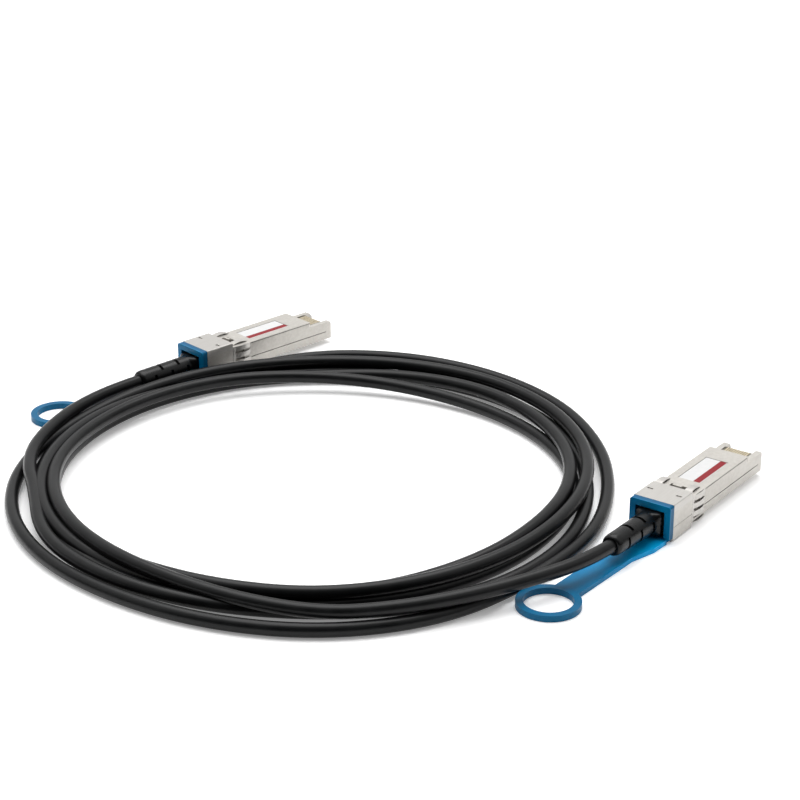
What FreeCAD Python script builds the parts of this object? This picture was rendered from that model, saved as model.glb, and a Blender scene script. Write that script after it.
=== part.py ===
import FreeCAD, Part
import math
import os
import re
import Sketcher
from FreeCAD import Placement, Rotation, Vector

# Direct attach copper cable: two identical pluggable ends on one coiled twinax cable.
# Frame: millimetres, +Z up, origin under the middle of the near plug's nose.
# Each plug is drawn in its own plug frame: the origin lies on the rest plane under the
# positive stop shoulder, and +X runs to the plug's tip. Both plugs lie latch side up.

SIZES = [
    # nose: the block that stays outside the cage
    ("nose_width", 13.9, "width of the nose block"),
    ("nose_height", 12.3, "height of the nose block with its cover"),
    ("nose_length", 11.5, "length of the nose block behind the stop shoulder"),
    ("nose_wall", 1.2, "rear wall of the nose block"),
    ("nose_floor", 1.3, "floor of the nose block"),
    ("nose_round", 0.8, "rounding of the nose block's lower long edges"),
    ("bay_width", 11.0, "width of the nose's bay for the boot's anchor"),
    ("bay_front", 1.5, "front end of that bay behind the stop shoulder"),
    ("bay_roof", 8.25, "height of the bay's roof under the latch channel"),
    # body: the part that slides into the cage
    ("body_width", 13.4, "width of the plug body"),
    ("body_height", 8.5, "height of the plug body"),
    ("body_rise", 1.9, "height of the body's underside over the rest plane"),
    ("body_length", 47.5, "stop shoulder to the tip"),
    ("shell_wall", 1.2, "wall of both die-cast shells"),
    ("seam_height", 4.9, "height of the joint between the two shells"),
    ("tip_round", 1.2, "rounding of the tip's upright edges"),
    ("groove_width", 0.25, "width of the grooves along the plug's sides"),
    ("groove_depth", 0.3, "depth of the grooves along the plug's sides"),
    ("groove_start", 8.6, "rear end of the body's grooves ahead of the stop shoulder"),
    ("groove_stop", 3.2, "front end of the seam groove behind the tip"),
    # open end with the paddle card
    ("mouth_length", 10.9, "length of the cover's cut-back at the tip"),
    ("mouth_floor", 0.9, "thickness of the floor under the card at the tip"),
    ("prong_drop", 2.0, "prongs below the latch face of the body"),
    ("prong_bevel", 1.3, "bevel of the prongs' upper front corners"),
    ("card_width", 9.2, "width of the paddle card"),
    ("card_thickness", 1.0, "thickness of the paddle card"),
    ("card_depth", 2.25, "latch face of the body down to the card"),
    ("card_setback", 3.2, "card's end behind the tip"),
    ("card_wall", 1.3, "wall between the latch slot and the card's bay"),
    ("card_play_end", 0.6, "end play of the card in its bay"),
    ("card_bevel", 0.3, "bevel of the card's leading edges"),
    ("card_play", 0.15, "side play of the card between the prongs"),
    ("rail_width", 0.8, "width of the rails that carry the card"),
    ("contact_count", 10, "gold contacts on each face of the card"),
    ("contact_pitch", 0.8, "pitch of the gold contacts"),
    ("contact_width", 0.5, "width of a gold contact"),
    ("contact_length", 4.6, "length of a gold contact"),
    ("contact_film", 0.05, "thickness of a gold contact"),
    ("chip_place", 22.0, "chip's middle ahead of the stop shoulder"),
    ("chip_length", 3.0, "length of the identity memory chip"),
    ("chip_width", 2.0, "width of the identity memory chip"),
    ("chip_height", 0.55, "height of the identity memory chip"),
    # spring collar
    ("collar_gauge", 0.2, "sheet of the spring collar"),
    ("collar_offset", 0.15, "collar's rear edge ahead of the stop shoulder"),
    ("collar_band", 1.1, "length of the collar's closed band"),
    ("collar_reach", 8.0, "front end of the collar's fingers"),
    ("finger_bulge", 0.5, "height of a finger's arch"),
    ("finger_gap", 1.0, "gap between two fingers"),
    ("well_depth", 0.6, "depth of the wells in the body's sides under the fingers"),
    ("well_front", 5.4, "front end of those wells ahead of the stop shoulder"),
    ("well_head", 0.3, "latch face of the body down to those wells"),
    ("finger_margin", 0.7, "fingers kept back from the body's corners"),
    ("side_fingers", 3, "fingers on each side"),
    ("under_fingers", 4, "fingers on the underside"),
    ("latch_side_finger", 2.4, "width of the two fingers on the latch side"),
    # stamped nose cover
    ("cover_gauge", 0.3, "sheet of the nose cover"),
    ("cover_flange", 2.4, "height of the nose cover's side flanges"),
    ("snap_length", 0.8, "snap window's length along the plug"),
    ("snap_width", 1.9, "snap window's width"),
    ("snap_pitch", 9.8, "distance between the two snap windows"),
    ("snap_place", 5.2, "snap windows behind the stop shoulder"),
    # latch
    ("latch_shoulder", 2.5, "stop shoulder to the latch shoulder"),
    ("boss_length", 2.4, "length of the latch boss"),
    ("boss_crest", 0.9, "flat top of the latch boss"),
    ("boss_width", 3.0, "width of the latch boss"),
    ("boss_height", 1.1, "boss over the latch face of the body"),
    ("channel_width", 6.4, "width of the latch channel in the nose"),
    ("channel_floor", 9.1, "height of the latch channel's floor"),
    ("arm_width", 6.2, "width of the rocker in the nose"),
    ("arm_gauge", 0.9, "thickness of the rocker's front arm"),
    ("arm_sink", 0.1, "rocker's arm below the latch face of the body"),
    ("slot_end", 5.4, "front end of the latch slot in the body"),
    ("pit_floor", 7.75, "height of the floor under the rocker's arm"),
    ("pit_rear", 3.0, "rear end of that pit behind the stop shoulder"),
    ("pit_wall", 0.7, "wall between that pit and the boot's bay"),
    ("pin_diameter", 1.2, "diameter of the pivot pin"),
    ("pin_length", 9.2, "length of the pivot pin"),
    ("pin_play", 0.03, "radial play of the rocker on its pin"),
    ("pivot_back", 4.3, "pivot behind the stop shoulder"),
    ("pivot_height", 10.4, "height of the pivot"),
    ("barrel_diameter", 2.0, "diameter of the rocker's barrel"),
    ("tail_reach", 4.9, "tail's end behind the pivot"),
    ("tail_low", 10.45, "height of the tail's underside"),
    ("tail_high", 11.0, "height of the tail's top"),
    ("foot_reach", 4.2, "foot's middle behind the pivot"),
    ("foot_width", 0.7, "length of the rocker's foot"),
    ("foot_play", 0.06, "play between the foot and the slider"),
    ("slider_width", 6.3, "width of the slider"),
    ("slider_low", 9.15, "height of the slider's underside"),
    ("slider_gauge", 0.45, "thickness of the slider plate"),
    ("slider_front", 5.75, "slider's front end behind the stop shoulder"),
    ("slider_rear", 9.9, "rear of the slider's riser behind the stop shoulder"),
    ("ramp_start", 8.0, "foot of the slider's ramp behind the stop shoulder"),
    ("ramp_top", 5.95, "head of the slider's ramp behind the stop shoulder"),
    ("ramp_rise", 0.69, "rise of the slider's ramp"),
    ("riser_gauge", 0.5, "thickness of the slider's riser"),
    ("strap_low", 10.6, "height of the underside of the slider's strap"),
    ("strap_high", 11.0, "height of the top of the slider's strap"),
    ("strap_reach", 13.2, "strap's end behind the stop shoulder"),
    ("spring_gauge", 0.15, "sheet of the latch spring"),
    ("spring_width", 3.2, "width of the latch spring"),
    ("spring_front", 0.8, "latch spring's front end behind the stop shoulder"),
    ("spring_bend", 0.2, "latch spring's bend behind the pivot"),
    ("spring_touch", 3.9, "latch spring's touch on the tail behind the pivot"),
    ("spring_tip", 0.4, "length of the latch spring's flat tip"),
    # pull tab
    ("frame_gap", 0.05, "gap between the nose block and the pull tab's frame"),
    ("frame_depth", 2.3, "pull tab's frame along the plug"),
    ("frame_window", 10.0, "width of the frame's window"),
    ("window_low", 1.7, "height of the window's sill"),
    ("window_high", 10.25, "height of the window's head"),
    ("frame_chamfer", 1.4, "chamfer of the frame's lower corners"),
    ("frame_round", 0.8, "rounding of the frame's upper corners"),
    ("apron_width", 12.4, "width of the tongue at the frame"),
    ("apron_length", 6.8, "full-width part of the tongue"),
    ("neck_length", 9.0, "length over which the tongue narrows"),
    ("tongue_width", 8.4, "width of the tongue"),
    ("tongue_gauge", 1.5, "thickness of the tongue"),
    ("ring_diameter", 19.0, "outer diameter of the finger ring"),
    ("ring_width", 2.2, "radial width of the finger ring"),
    ("ring_gauge", 2.0, "thickness of the finger ring"),
    ("ring_reach", 67.0, "ring's middle behind the stop shoulder"),
    ("near_lean", 0.04, "sideways lean of the near tongue per length"),
    ("far_lean", 0.09, "sideways lean of the far tongue per length"),
    # boot and what it holds
    ("cable_diameter", 4.3, "outer diameter of the twinax cable"),
    ("cable_height", 5.9, "height of the cable's axis in the plug"),
    ("boot_start", 13.2, "start of the boot's full section behind the stop shoulder"),
    ("boot_diameter", 7.5, "boot's diameter at the frame"),
    ("boot_end_diameter", 6.7, "boot's diameter before its rounded end"),
    ("boot_mouth", 5.3, "boot's diameter at its end face"),
    ("boot_reach", 38.0, "boot's end behind the stop shoulder"),
    ("boot_nose", 1.8, "length of the boot's rounded end"),
    ("neck_diameter", 4.9, "diameter of the boot's neck in the rear wall"),
    ("neck_hole", 5.6, "hole for the boot in the rear wall"),
    ("anchor_rear", 9.95, "rear of the boot's anchor behind the stop shoulder"),
    ("anchor_front", 7.6, "front of the boot's anchor behind the stop shoulder"),
    ("anchor_width", 9.4, "width of the boot's anchor"),
    ("anchor_height", 4.4, "height of the boot's anchor"),
    ("slit_place", 19.5, "first slit of the boot behind the stop shoulder"),
    ("slit_pitch", 8.0, "pitch of the slits on one side of the boot"),
    ("slit_width", 0.7, "width of a slit"),
    ("slit_core", 4.9, "thickness of the boot left between the slits"),
    ("cable_seat", 6.0, "length of cable held in the boot's end"),
    ("near_lift", 2.3, "upward tilt of the near boot, degrees"),
    ("far_lift", 0.6, "upward tilt of the far boot, degrees"),
    ("ferrule_diameter", 4.4, "outer diameter of the crimp ferrule"),
    ("ferrule_length", 3.5, "length of the crimp ferrule"),
    ("ferrule_play", 0.1, "gap between the boot's anchor and the ferrule"),
    ("core_diameter", 1.1, "diameter of an insulated conductor"),
    ("core_pitch", 1.25, "pitch of the four conductors"),
    ("core_lap", 3.0, "length of the conductors soldered under the card"),
    # label
    ("label_length", 18.0, "length of the label"),
    ("label_width", 7.4, "width of the label"),
    ("label_place", 10.6, "label's rear edge ahead of the stop shoulder"),
    ("label_film", 0.1, "thickness of the label"),
    ("label_recess", 0.18, "depth of the label's pocket"),
    ("label_margin", 0.15, "label's edge to its pocket's wall"),
    # coil
    ("coil_long", 98.0, "half length of the coil outside"),
    ("coil_short", 92.0, "half width of the coil outside"),
    ("coil_hole", 154.6, "diameter of the coil's hole"),
    ("coil_height", 9.4, "height of the coiled turns"),
    ("coil_turn", 12.0, "turn of the coil's long axis from +X, degrees"),
    ("coil_bevel", 1.6, "bevel of the coil's long edges"),
]

# Where the second plug, the coil and the loose leads lie on the surface.
FAR_STOP = (20.35, 191.35)
FAR_TURN = -10.75
COIL_MIDDLE = (-37.6, 102.2)
HOLE_MIDDLE = (-36.5, 106.0)
ARC_SHARE = 0.45

doc = FreeCAD.newDocument("direct_attach_cable")
sheet = doc.addObject("Spreadsheet::Sheet", "Sizes")
for row, (alias, number, note) in enumerate(SIZES, start=1):
    sheet.set(f"A{row}", alias)
    sheet.set(f"B{row}", str(number))
    sheet.set(f"C{row}", note)
    sheet.setAlias(f"B{row}", alias)
doc.recompute()

ALIASES = {alias for alias, _, _ in SIZES}
SUBPARTS = []


def size(formula):
    """The value of a formula of sheet aliases, such as "nose_width / 2"."""
    return float(sheet.evalExpression(formula))


def bind(item, path, formula):
    """Binds a property to a formula of sheet aliases."""
    named = re.sub(r"[a-z][a-z_]*", lambda w: "Sizes." + w[0] if w[0] in ALIASES else w[0], formula)
    item.setExpression(path, named)


def new_body(label, placement):
    body = doc.addObject("PartDesign::Body", label)
    body.Label = label
    body.Placement = placement
    SUBPARTS.append(body)
    return body


def new_sketch(body, name, plane, level="0", rise="0"):
    """A sketch on one of the body's origin planes, moved along its normal by a level."""
    sketch = body.newObject("Sketcher::SketchObject", name)
    support = [item for item in body.Origin.OriginFeatures if item.Role == plane][0]
    sketch.AttachmentSupport = [(support, "")]
    sketch.MapMode = "FlatFace"
    bind(sketch, ".AttachmentOffset.Base.z", level)
    bind(sketch, ".AttachmentOffset.Base.y", rise)
    return sketch


def fix_point(sketch, geometry, point, x, y):
    """Ties a point of a sketch to a pair of sheet formulas."""
    for kind, formula in (("DistanceX", x), ("DistanceY", y)):
        rule = Sketcher.Constraint(kind, -1, 1, geometry, point, size(formula))
        index = sketch.addConstraint(rule)
        bind(sketch, f"Constraints[{index}]", formula)


def draw_polygon(sketch, corners):
    """A closed outline whose corners are (x, y) pairs of sheet formulas."""
    first = sketch.GeometryCount
    count = len(corners)
    points = [Vector(size(x), size(y), 0) for x, y in corners]
    for index in range(count):
        line = Part.LineSegment(points[index], points[(index + 1) % count])
        sketch.addGeometry(line, False)
    for index in range(count):
        following = first + (index + 1) % count
        sketch.addConstraint(Sketcher.Constraint("Coincident", first + index, 2, following, 1))
    for index, (x, y) in enumerate(corners):
        fix_point(sketch, first + index, 1, x, y)


def draw_circle(sketch, x, y, diameter):
    """A circle given by sheet formulas of its middle and its diameter."""
    radius = size(diameter) / 2
    circle = Part.Circle(Vector(size(x), size(y), 0), Vector(0, 0, 1), radius)
    geometry = sketch.addGeometry(circle, False)
    fix_point(sketch, geometry, 3, x, y)
    index = sketch.addConstraint(Sketcher.Constraint("Diameter", geometry, 2 * radius))
    bind(sketch, f"Constraints[{index}]", diameter)


def box(x_low, x_high, y_low, y_high):
    """The corners of a rectangle."""
    return [(x_low, y_low), (x_high, y_low), (x_high, y_high), (x_low, y_high)]


def on_both_sides(inner, outer, low, high):
    """Two mirrored rectangles, left and right of the plug's middle."""
    return [box(inner, outer, low, high), box(f"-({outer})", f"-({inner})", low, high)]


def extrude(body, name, plane, low, high, outlines, cut=False):
    """Pads or pockets outlines from one level to another along a plane's normal."""
    sketch = new_sketch(body, name + "_outline", plane, f"({low} + {high}) / 2")
    for outline in outlines:
        if isinstance(outline, tuple):
            draw_circle(sketch, *outline)
        else:
            draw_polygon(sketch, outline)
    item = body.newObject("PartDesign::Pocket" if cut else "PartDesign::Pad", name)
    item.Profile = sketch
    item.SideType = "Symmetric"
    bind(item, "Length", f"{high} - ({low})")
    before = body.Shape.Volume if cut else 0.0
    doc.recompute()
    if cut and not body.Shape.Volume < before - 1e-6:
        raise RuntimeError(f"{body.Label}.{name} removed nothing")
    return item


def dress(body, name, kind, amount, chosen):
    """Rounds ("Fillet") or bevels ("Chamfer") the edges picked by a test on them."""
    base = body.Tip
    edges = [f"Edge{number}" for number, edge in enumerate(base.Shape.Edges, 1) if chosen(edge)]
    if not edges:
        raise RuntimeError(f"{body.Label}.{name} found no edge")
    item = body.newObject("PartDesign::" + kind, name)
    item.Base = (base, edges)
    bind(item, "Radius" if kind == "Fillet" else "Size", amount)
    doc.recompute()
    return item


def runs_along(edge, axis, **levels):
    """True for a straight edge along an axis whose middle has the given coordinates."""
    if edge.Curve.TypeId != "Part::GeomLine":
        return False
    direction = edge.Vertexes[-1].Point - edge.Vertexes[0].Point
    across = [abs(getattr(direction, name)) for name in "xyz" if name != axis]
    middle = edge.CenterOfMass
    placed = all(abs(abs(getattr(middle, name)) - level) < 1e-3 for name, level in levels.items())
    return max(across) < 1e-6 and placed


def build_lower_shell(end, placement):
    """Die-cast lower half: floor of the nose and of the body, open towards the seam."""
    body = new_body(f"{end}_lower_shell", placement)
    extrude(body, "nose", "XZ_Plane", "-nose_width / 2", "nose_width / 2",
            [box("-nose_length", "0", "0", "seam_height")])
    dress(body, "nose_edges", "Fillet", "nose_round",
          lambda edge: runs_along(edge, "x", y=size("nose_width / 2"), z=0))
    extrude(body, "body", "XZ_Plane", "-body_width / 2", "body_width / 2",
            [box("-1", "body_length", "body_rise", "seam_height")])
    channel = "(card_width / 2 + card_play)"
    extrude(body, "nose_cavity", "XY_Plane", "nose_floor", "seam_height + 1",
            [box("nose_wall - nose_length", "-bay_front", "-bay_width / 2", "bay_width / 2")],
            cut=True)
    extrude(body, "body_cavity", "XY_Plane", "body_rise + shell_wall", "seam_height + 1",
            [box("-2", "body_length - mouth_length", f"-{channel}", channel)], cut=True)
    extrude(body, "mouth", "XY_Plane", "body_rise + mouth_floor", "seam_height + 1",
            [box("body_length - mouth_length - 1", "body_length + 1", f"-{channel}", channel)],
            cut=True)
    extrude(body, "boot_hole", "YZ_Plane", "-nose_length - 1", "-nose_length + nose_wall + 1",
            [("0", "cable_height", "neck_hole")], cut=True)
    dress(body, "tip_edges", "Fillet", "tip_round",
          lambda edge: runs_along(edge, "z", x=size("body_length"), y=size("body_width / 2")))
    extrude(body, "finger_wells", "YZ_Plane", "collar_offset + collar_band", "well_front",
            on_both_sides("body_width / 2 - well_depth", "body_width / 2 + 1",
                          "body_rise + finger_margin", "seam_height + 1"), cut=True)
    extrude(body, "body_groove", "YZ_Plane", "groove_start", "body_length - groove_stop",
            on_both_sides("body_width / 2 - groove_depth", "body_width / 2 + 1",
                          "seam_height - groove_width", "seam_height + 1"), cut=True)
    extrude(body, "nose_groove", "YZ_Plane", "-nose_length - 1", "0",
            on_both_sides("nose_width / 2 - groove_depth", "nose_width / 2 + 1",
                          "seam_height - groove_width / 2", "seam_height + 1"), cut=True)
    return body


def build_upper_shell(end, placement):
    """Die-cast upper half with the latch channel, the card rails and the two prongs."""
    body = new_body(f"{end}_upper_shell", placement)
    top = "(body_rise + body_height)"
    flange_low = "nose_height - cover_flange"
    under_cover = "nose_height - cover_gauge"
    half_nose = "nose_width / 2"
    inner = "nose_width / 2 - cover_gauge"
    extrude(body, "nose", "YZ_Plane", "-nose_length", "0", [[
        (f"-{half_nose}", "seam_height"), (half_nose, "seam_height"),
        (half_nose, flange_low), (inner, flange_low),
        (inner, under_cover), (f"-({inner})", under_cover),
        (f"-({inner})", flange_low), (f"-{half_nose}", flange_low)]])
    extrude(body, "body", "XZ_Plane", "-body_width / 2", "body_width / 2",
            [box("0", "body_length", "seam_height", top)])
    card_low = f"({top} - card_depth - card_thickness)"
    prong = f"({top} - prong_drop)"
    extrude(body, "step", "XZ_Plane", "-body_width", "body_width", [[
        ("body_length - mouth_length", prong), ("body_length - prong_bevel", prong),
        ("body_length + 1", f"{prong} - prong_bevel - 1"),
        ("body_length + 1", f"{top} + 1"), ("body_length - mouth_length", f"{top} + 1")]],
        cut=True)
    dress(body, "tip_edges", "Fillet", "tip_round",
          lambda edge: runs_along(edge, "z", x=size("body_length"), y=size("body_width / 2")))
    channel = "(card_width / 2 + card_play)"
    rail = "(card_width / 2 - rail_width)"
    extrude(body, "card_bay", "XY_Plane", card_low, f"{top} - shell_wall",
            [box("slot_end + card_wall", "body_length - mouth_length + 1", f"-{channel}", channel)],
            cut=True)
    extrude(body, "wire_bay", "XY_Plane", "seam_height - 1", card_low,
            [box("-pit_rear - pit_wall - 0.1", "body_length - mouth_length + 1", f"-{rail}", rail)],
            cut=True)
    extrude(body, "mouth", "XY_Plane", "seam_height - 1", f"{top} + 1",
            [box("body_length - mouth_length", "body_length + 1", f"-{channel}", channel)],
            cut=True)
    extrude(body, "nose_cavity", "XY_Plane", "seam_height - 1", "bay_roof",
            [box("nose_wall - nose_length", "-pit_rear - pit_wall", "-bay_width / 2",
                 "bay_width / 2")], cut=True)
    extrude(body, "boot_hole", "YZ_Plane", "-nose_length - 1", "-nose_length + nose_wall + 1",
            [("0", "cable_height", "neck_hole")], cut=True)
    extrude(body, "latch_channel", "XZ_Plane", "-channel_width / 2", "channel_width / 2",
            [box("-nose_length - 1", "-pit_rear + 0.5", "channel_floor", "nose_height")],
            cut=True)
    extrude(body, "latch_pit", "XZ_Plane", "-channel_width / 2", "channel_width / 2",
            [box("-pit_rear", "slot_end", "pit_floor", "nose_height")], cut=True)
    extrude(body, "pivot_bore", "XZ_Plane", "-pin_length / 2", "pin_length / 2",
            [("-pivot_back", "pivot_height", "pin_diameter")], cut=True)
    margin = "label_margin"
    extrude(body, "finger_wells", "YZ_Plane", "collar_offset + collar_band", "well_front",
            on_both_sides("body_width / 2 - well_depth", "body_width / 2 + 1",
                          "seam_height - 1", f"{top} - well_head"), cut=True)
    extrude(body, "edge_groove", "YZ_Plane", "groove_start", "body_length - mouth_length",
            on_both_sides("body_width / 2 - groove_depth", "body_width / 2 + 1",
                          f"{top} - 2 * groove_width", f"{top} - groove_width"), cut=True)
    extrude(body, "label_pocket", "XY_Plane", f"{top} - label_recess", f"{top} + 1",
            [box(f"label_place - {margin}", f"label_place + label_length + {margin}",
                 f"-label_width / 2 - {margin}", f"label_width / 2 + {margin}")], cut=True)
    return body


def build_nose_cover(end, placement):
    """Stamped cover over the latch channel, with two flanges and two snap windows."""
    body = new_body(f"{end}_nose_cover", placement)
    outer = "nose_width / 2"
    inner = "nose_width / 2 - cover_gauge"
    low = "nose_height - cover_flange"
    under = "nose_height - cover_gauge"
    extrude(body, "sheet", "YZ_Plane", "-nose_length", "0", [[
        (f"-{outer}", low), (f"-({inner})", low), (f"-({inner})", under), (inner, under),
        (inner, low), (outer, low), (outer, "nose_height"), (f"-{outer}", "nose_height")]])
    dress(body, "bends", "Fillet", "cover_gauge",
          lambda edge: runs_along(edge, "x", y=size(outer), z=size("nose_height")))
    reach = ("-snap_place - snap_length / 2", "-snap_place + snap_length / 2")
    windows = [
        box(*reach, "-snap_pitch / 2 - snap_width / 2", "-snap_pitch / 2 + snap_width / 2"),
        box(*reach, "snap_pitch / 2 - snap_width / 2", "snap_pitch / 2 + snap_width / 2")]
    extrude(body, "snap_windows", "XY_Plane", f"{under} - 1", "nose_height + 1", windows,
            cut=True)
    return body


def build_card(end, placement):
    """Paddle card with bevelled leading edges."""
    body = new_body(f"{end}_paddle_card", placement)
    low = "(body_rise + body_height - card_depth - card_thickness)"
    tip = "(body_length - card_setback)"
    rear = "(slot_end + card_wall + card_play_end)"
    extrude(body, "board", "XZ_Plane", "-card_width / 2", "card_width / 2", [[
        (rear, low), (f"{tip} - card_bevel", low),
        (tip, f"{low} + card_bevel"), (tip, f"{low} + card_thickness - card_bevel"),
        (f"{tip} - card_bevel", f"{low} + card_thickness"),
        (rear, f"{low} + card_thickness")]])
    return body


def build_contacts(end, placement):
    """Two rows of gold contacts, one on each face of the card."""
    label = f"{end}_gold_contacts"
    low = size("body_rise + body_height - card_depth - card_thickness")
    film = size("contact_film")
    start = size("body_length - card_setback - card_bevel - 0.15 - contact_length")
    count = int(size("contact_count"))
    strips = []
    for face in (low - film, low + size("card_thickness")):
        for index in range(count):
            middle = (index - (count - 1) / 2) * size("contact_pitch")
            corner = Vector(start, middle - size("contact_width") / 2, face)
            strips.append(Part.makeBox(size("contact_length"), size("contact_width"), film, corner))
    return add_shape(label, Part.makeCompound(strips), placement)


def add_shape(label, shape, placement):
    item = doc.addObject("Part::Feature", label)
    item.Label = label
    item.Shape = shape
    item.Placement = placement
    SUBPARTS.append(item)
    return item


def build_chip(end, placement):
    """Identity memory chip on the underside of the card."""
    body = new_body(f"{end}_memory_chip", placement)
    low = "(body_rise + body_height - card_depth - card_thickness)"
    extrude(body, "package", "XY_Plane", f"{low} - chip_height", low,
            [box("chip_place - chip_length / 2", "chip_place + chip_length / 2",
                 "-chip_width / 2", "chip_width / 2")])
    return body


def build_conductors(end, placement):
    """Four insulated conductors from the ferrule to the underside of the card."""
    low = size("body_rise + body_height - card_depth - card_thickness")
    radius = size("core_diameter") / 2
    start = size("-anchor_front + ferrule_play + ferrule_length")
    length = size("slot_end + card_wall + card_play_end + core_lap") - start
    rods = []
    for index in range(4):
        middle = (index - 1.5) * size("core_pitch")
        base = Vector(start, middle, low - radius)
        rods.append(Part.makeCylinder(radius, length, base, Vector(1, 0, 0)))
    return add_shape(f"{end}_conductors", Part.makeCompound(rods), placement)


def build_ferrule(end, placement):
    """Crimp ferrule round the cable's braid, against the boot's anchor."""
    body = new_body(f"{end}_ferrule", placement)
    rear = "(-anchor_front + ferrule_play)"
    extrude(body, "tube", "YZ_Plane", rear, f"{rear} + ferrule_length",
            [("0", "cable_height", "ferrule_diameter")])
    return body


def arch(length, width):
    """A spring finger: it leaves the band, arches outwards and lands on the shell again.

    It stands on z=0 from x=0 to its length, centred on y=0.
    """
    gauge = size("collar_gauge")
    bulge = size("finger_bulge")
    foot = 0.6
    outer = Part.Arc(Vector(foot, 0, gauge), Vector(length / 2, 0, bulge + gauge),
                     Vector(length, 0, gauge * 0.75))
    inner = Part.Arc(Vector(length - 0.1, 0, 0), Vector(length / 2, 0, bulge),
                     Vector(foot + 0.1, 0, 0))
    edges = [
        Part.LineSegment(Vector(0, 0, 0), Vector(0, 0, gauge)).toShape(),
        Part.LineSegment(Vector(0, 0, gauge), Vector(foot, 0, gauge)).toShape(),
        outer.toShape(),
        Part.LineSegment(Vector(length, 0, gauge * 0.75), Vector(length - 0.1, 0, 0)).toShape(),
        inner.toShape(),
        Part.LineSegment(Vector(foot + 0.1, 0, 0), Vector(0, 0, 0)).toShape(),
    ]
    finger = Part.Face(Part.Wire(edges)).extrude(Vector(0, width, 0))
    finger.translate(Vector(0, -width / 2, 0))
    return finger


def build_collar(end, placement):
    """Spring collar: a closed band with rows of arched contact fingers."""
    gauge = size("collar_gauge")
    start = size("collar_offset")
    band = size("collar_band")
    half_width = size("body_width / 2")
    low = size("body_rise")
    high = size("body_rise + body_height")
    outside = Part.makeBox(band, 2 * (half_width + gauge), high - low + 2 * gauge,
                           Vector(start, -half_width - gauge, low - gauge))
    inside = Part.makeBox(band + 2, 2 * half_width, high - low,
                          Vector(start - 1, -half_width, low))
    collar = outside.cut(inside)
    root = start + band - 0.3
    reach = size("collar_reach") - root
    margin = size("finger_margin")
    gap = size("finger_gap")
    fingers = []
    count = int(size("side_fingers"))
    width = (high - low - 2 * margin - gap * (count - 1)) / count
    for side in (-1, 1):
        for index in range(count):
            middle = low + margin + width / 2 + index * (width + gap)
            finger = arch(reach, width)
            finger.Placement = Placement(Vector(root, side * half_width, middle),
                                         Rotation(Vector(1, 0, 0), -90 * side))
            fingers.append(finger)
    count = int(size("under_fingers"))
    width = (2 * half_width - 2 * margin - gap * (count - 1)) / count
    for index in range(count):
        middle = -half_width + margin + width / 2 + index * (width + gap)
        finger = arch(reach, width)
        finger.Placement = Placement(Vector(root, middle, low), Rotation(Vector(1, 0, 0), 180))
        fingers.append(finger)
    width = size("latch_side_finger")
    for side in (-1, 1):
        middle = side * (half_width - margin / 2 - width / 2)
        finger = arch(reach, width)
        finger.Placement = Placement(Vector(root, middle, high), Rotation())
        fingers.append(finger)
    collar = collar.multiFuse(fingers).removeSplitter()
    return add_shape(f"{end}_spring_collar", collar, placement)


def build_rocker(end, placement):
    """Latch rocker: boss in front, barrel on the pin, tail and foot behind."""
    body = new_body(f"{end}_latch_rocker", placement)
    top = "(body_rise + body_height)"
    arm_top = f"({top} - arm_sink)"
    arm_low = f"({top} - arm_sink - arm_gauge)"
    wide = "arm_width / 2"
    narrow = "boss_width / 2"
    extrude(body, "barrel", "XZ_Plane", f"-{wide}", wide,
            [("-pivot_back", "pivot_height", "barrel_diameter")])
    extrude(body, "shank", "XZ_Plane", f"-{wide}", wide,
            [box("-pivot_back", "-0.5", arm_low, arm_top)])
    extrude(body, "tail", "XZ_Plane", f"-{wide}", wide,
            [box("-pivot_back - tail_reach", "-pivot_back", "tail_low", "tail_high")])
    sole = "slider_low + slider_gauge + foot_play"
    heel = "(-pivot_back - foot_reach)"
    extrude(body, "foot", "XZ_Plane", f"-{wide}", wide, [[
        (f"{heel} - foot_width / 2", "tail_low + 0.1"),
        (f"{heel} - foot_width / 2", f"{sole} + 0.2"), (f"{heel} - foot_width / 4", sole),
        (f"{heel} + foot_width / 4", sole), (f"{heel} + foot_width / 2", f"{sole} + 0.2"),
        (f"{heel} + foot_width / 2", "tail_low + 0.1")]])
    tip = "(latch_shoulder + boss_length)"
    extrude(body, "boss", "XZ_Plane", f"-{narrow}", narrow, [[
        ("-1", arm_low), (tip, arm_low), (tip, arm_top),
        ("latch_shoulder + boss_crest", f"{top} + boss_height"),
        ("latch_shoulder", f"{top} + boss_height"), ("latch_shoulder", arm_top),
        ("-1", arm_top)]])
    extrude(body, "bore", "XZ_Plane", "-arm_width", "arm_width",
            [("-pivot_back", "pivot_height", "pin_diameter + 2 * pin_play")], cut=True)
    return body


def build_pin(end, placement):
    body = new_body(f"{end}_pivot_pin", placement)
    extrude(body, "shaft", "XZ_Plane", "-pin_length / 2", "pin_length / 2",
            [("-pivot_back", "pivot_height", "pin_diameter")])
    return body


def build_slider(end, placement):
    """Slider that the pull tab draws back; its ramp lifts the rocker's foot."""
    body = new_body(f"{end}_latch_slider", placement)
    deck = "(slider_low + slider_gauge)"
    wide = "slider_width / 2"
    extrude(body, "plate", "XZ_Plane", f"-{wide}", wide, [[
        ("-slider_rear", "slider_low"), ("-slider_front", "slider_low"),
        ("-slider_front", f"{deck} + ramp_rise"), ("-ramp_top", f"{deck} + ramp_rise"),
        ("-ramp_start", deck), ("-slider_rear + riser_gauge", deck),
        ("-slider_rear + riser_gauge", "strap_high"), ("-strap_reach", "strap_high"),
        ("-strap_reach", "strap_low"), ("-slider_rear", "strap_low")]])
    return body


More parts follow.
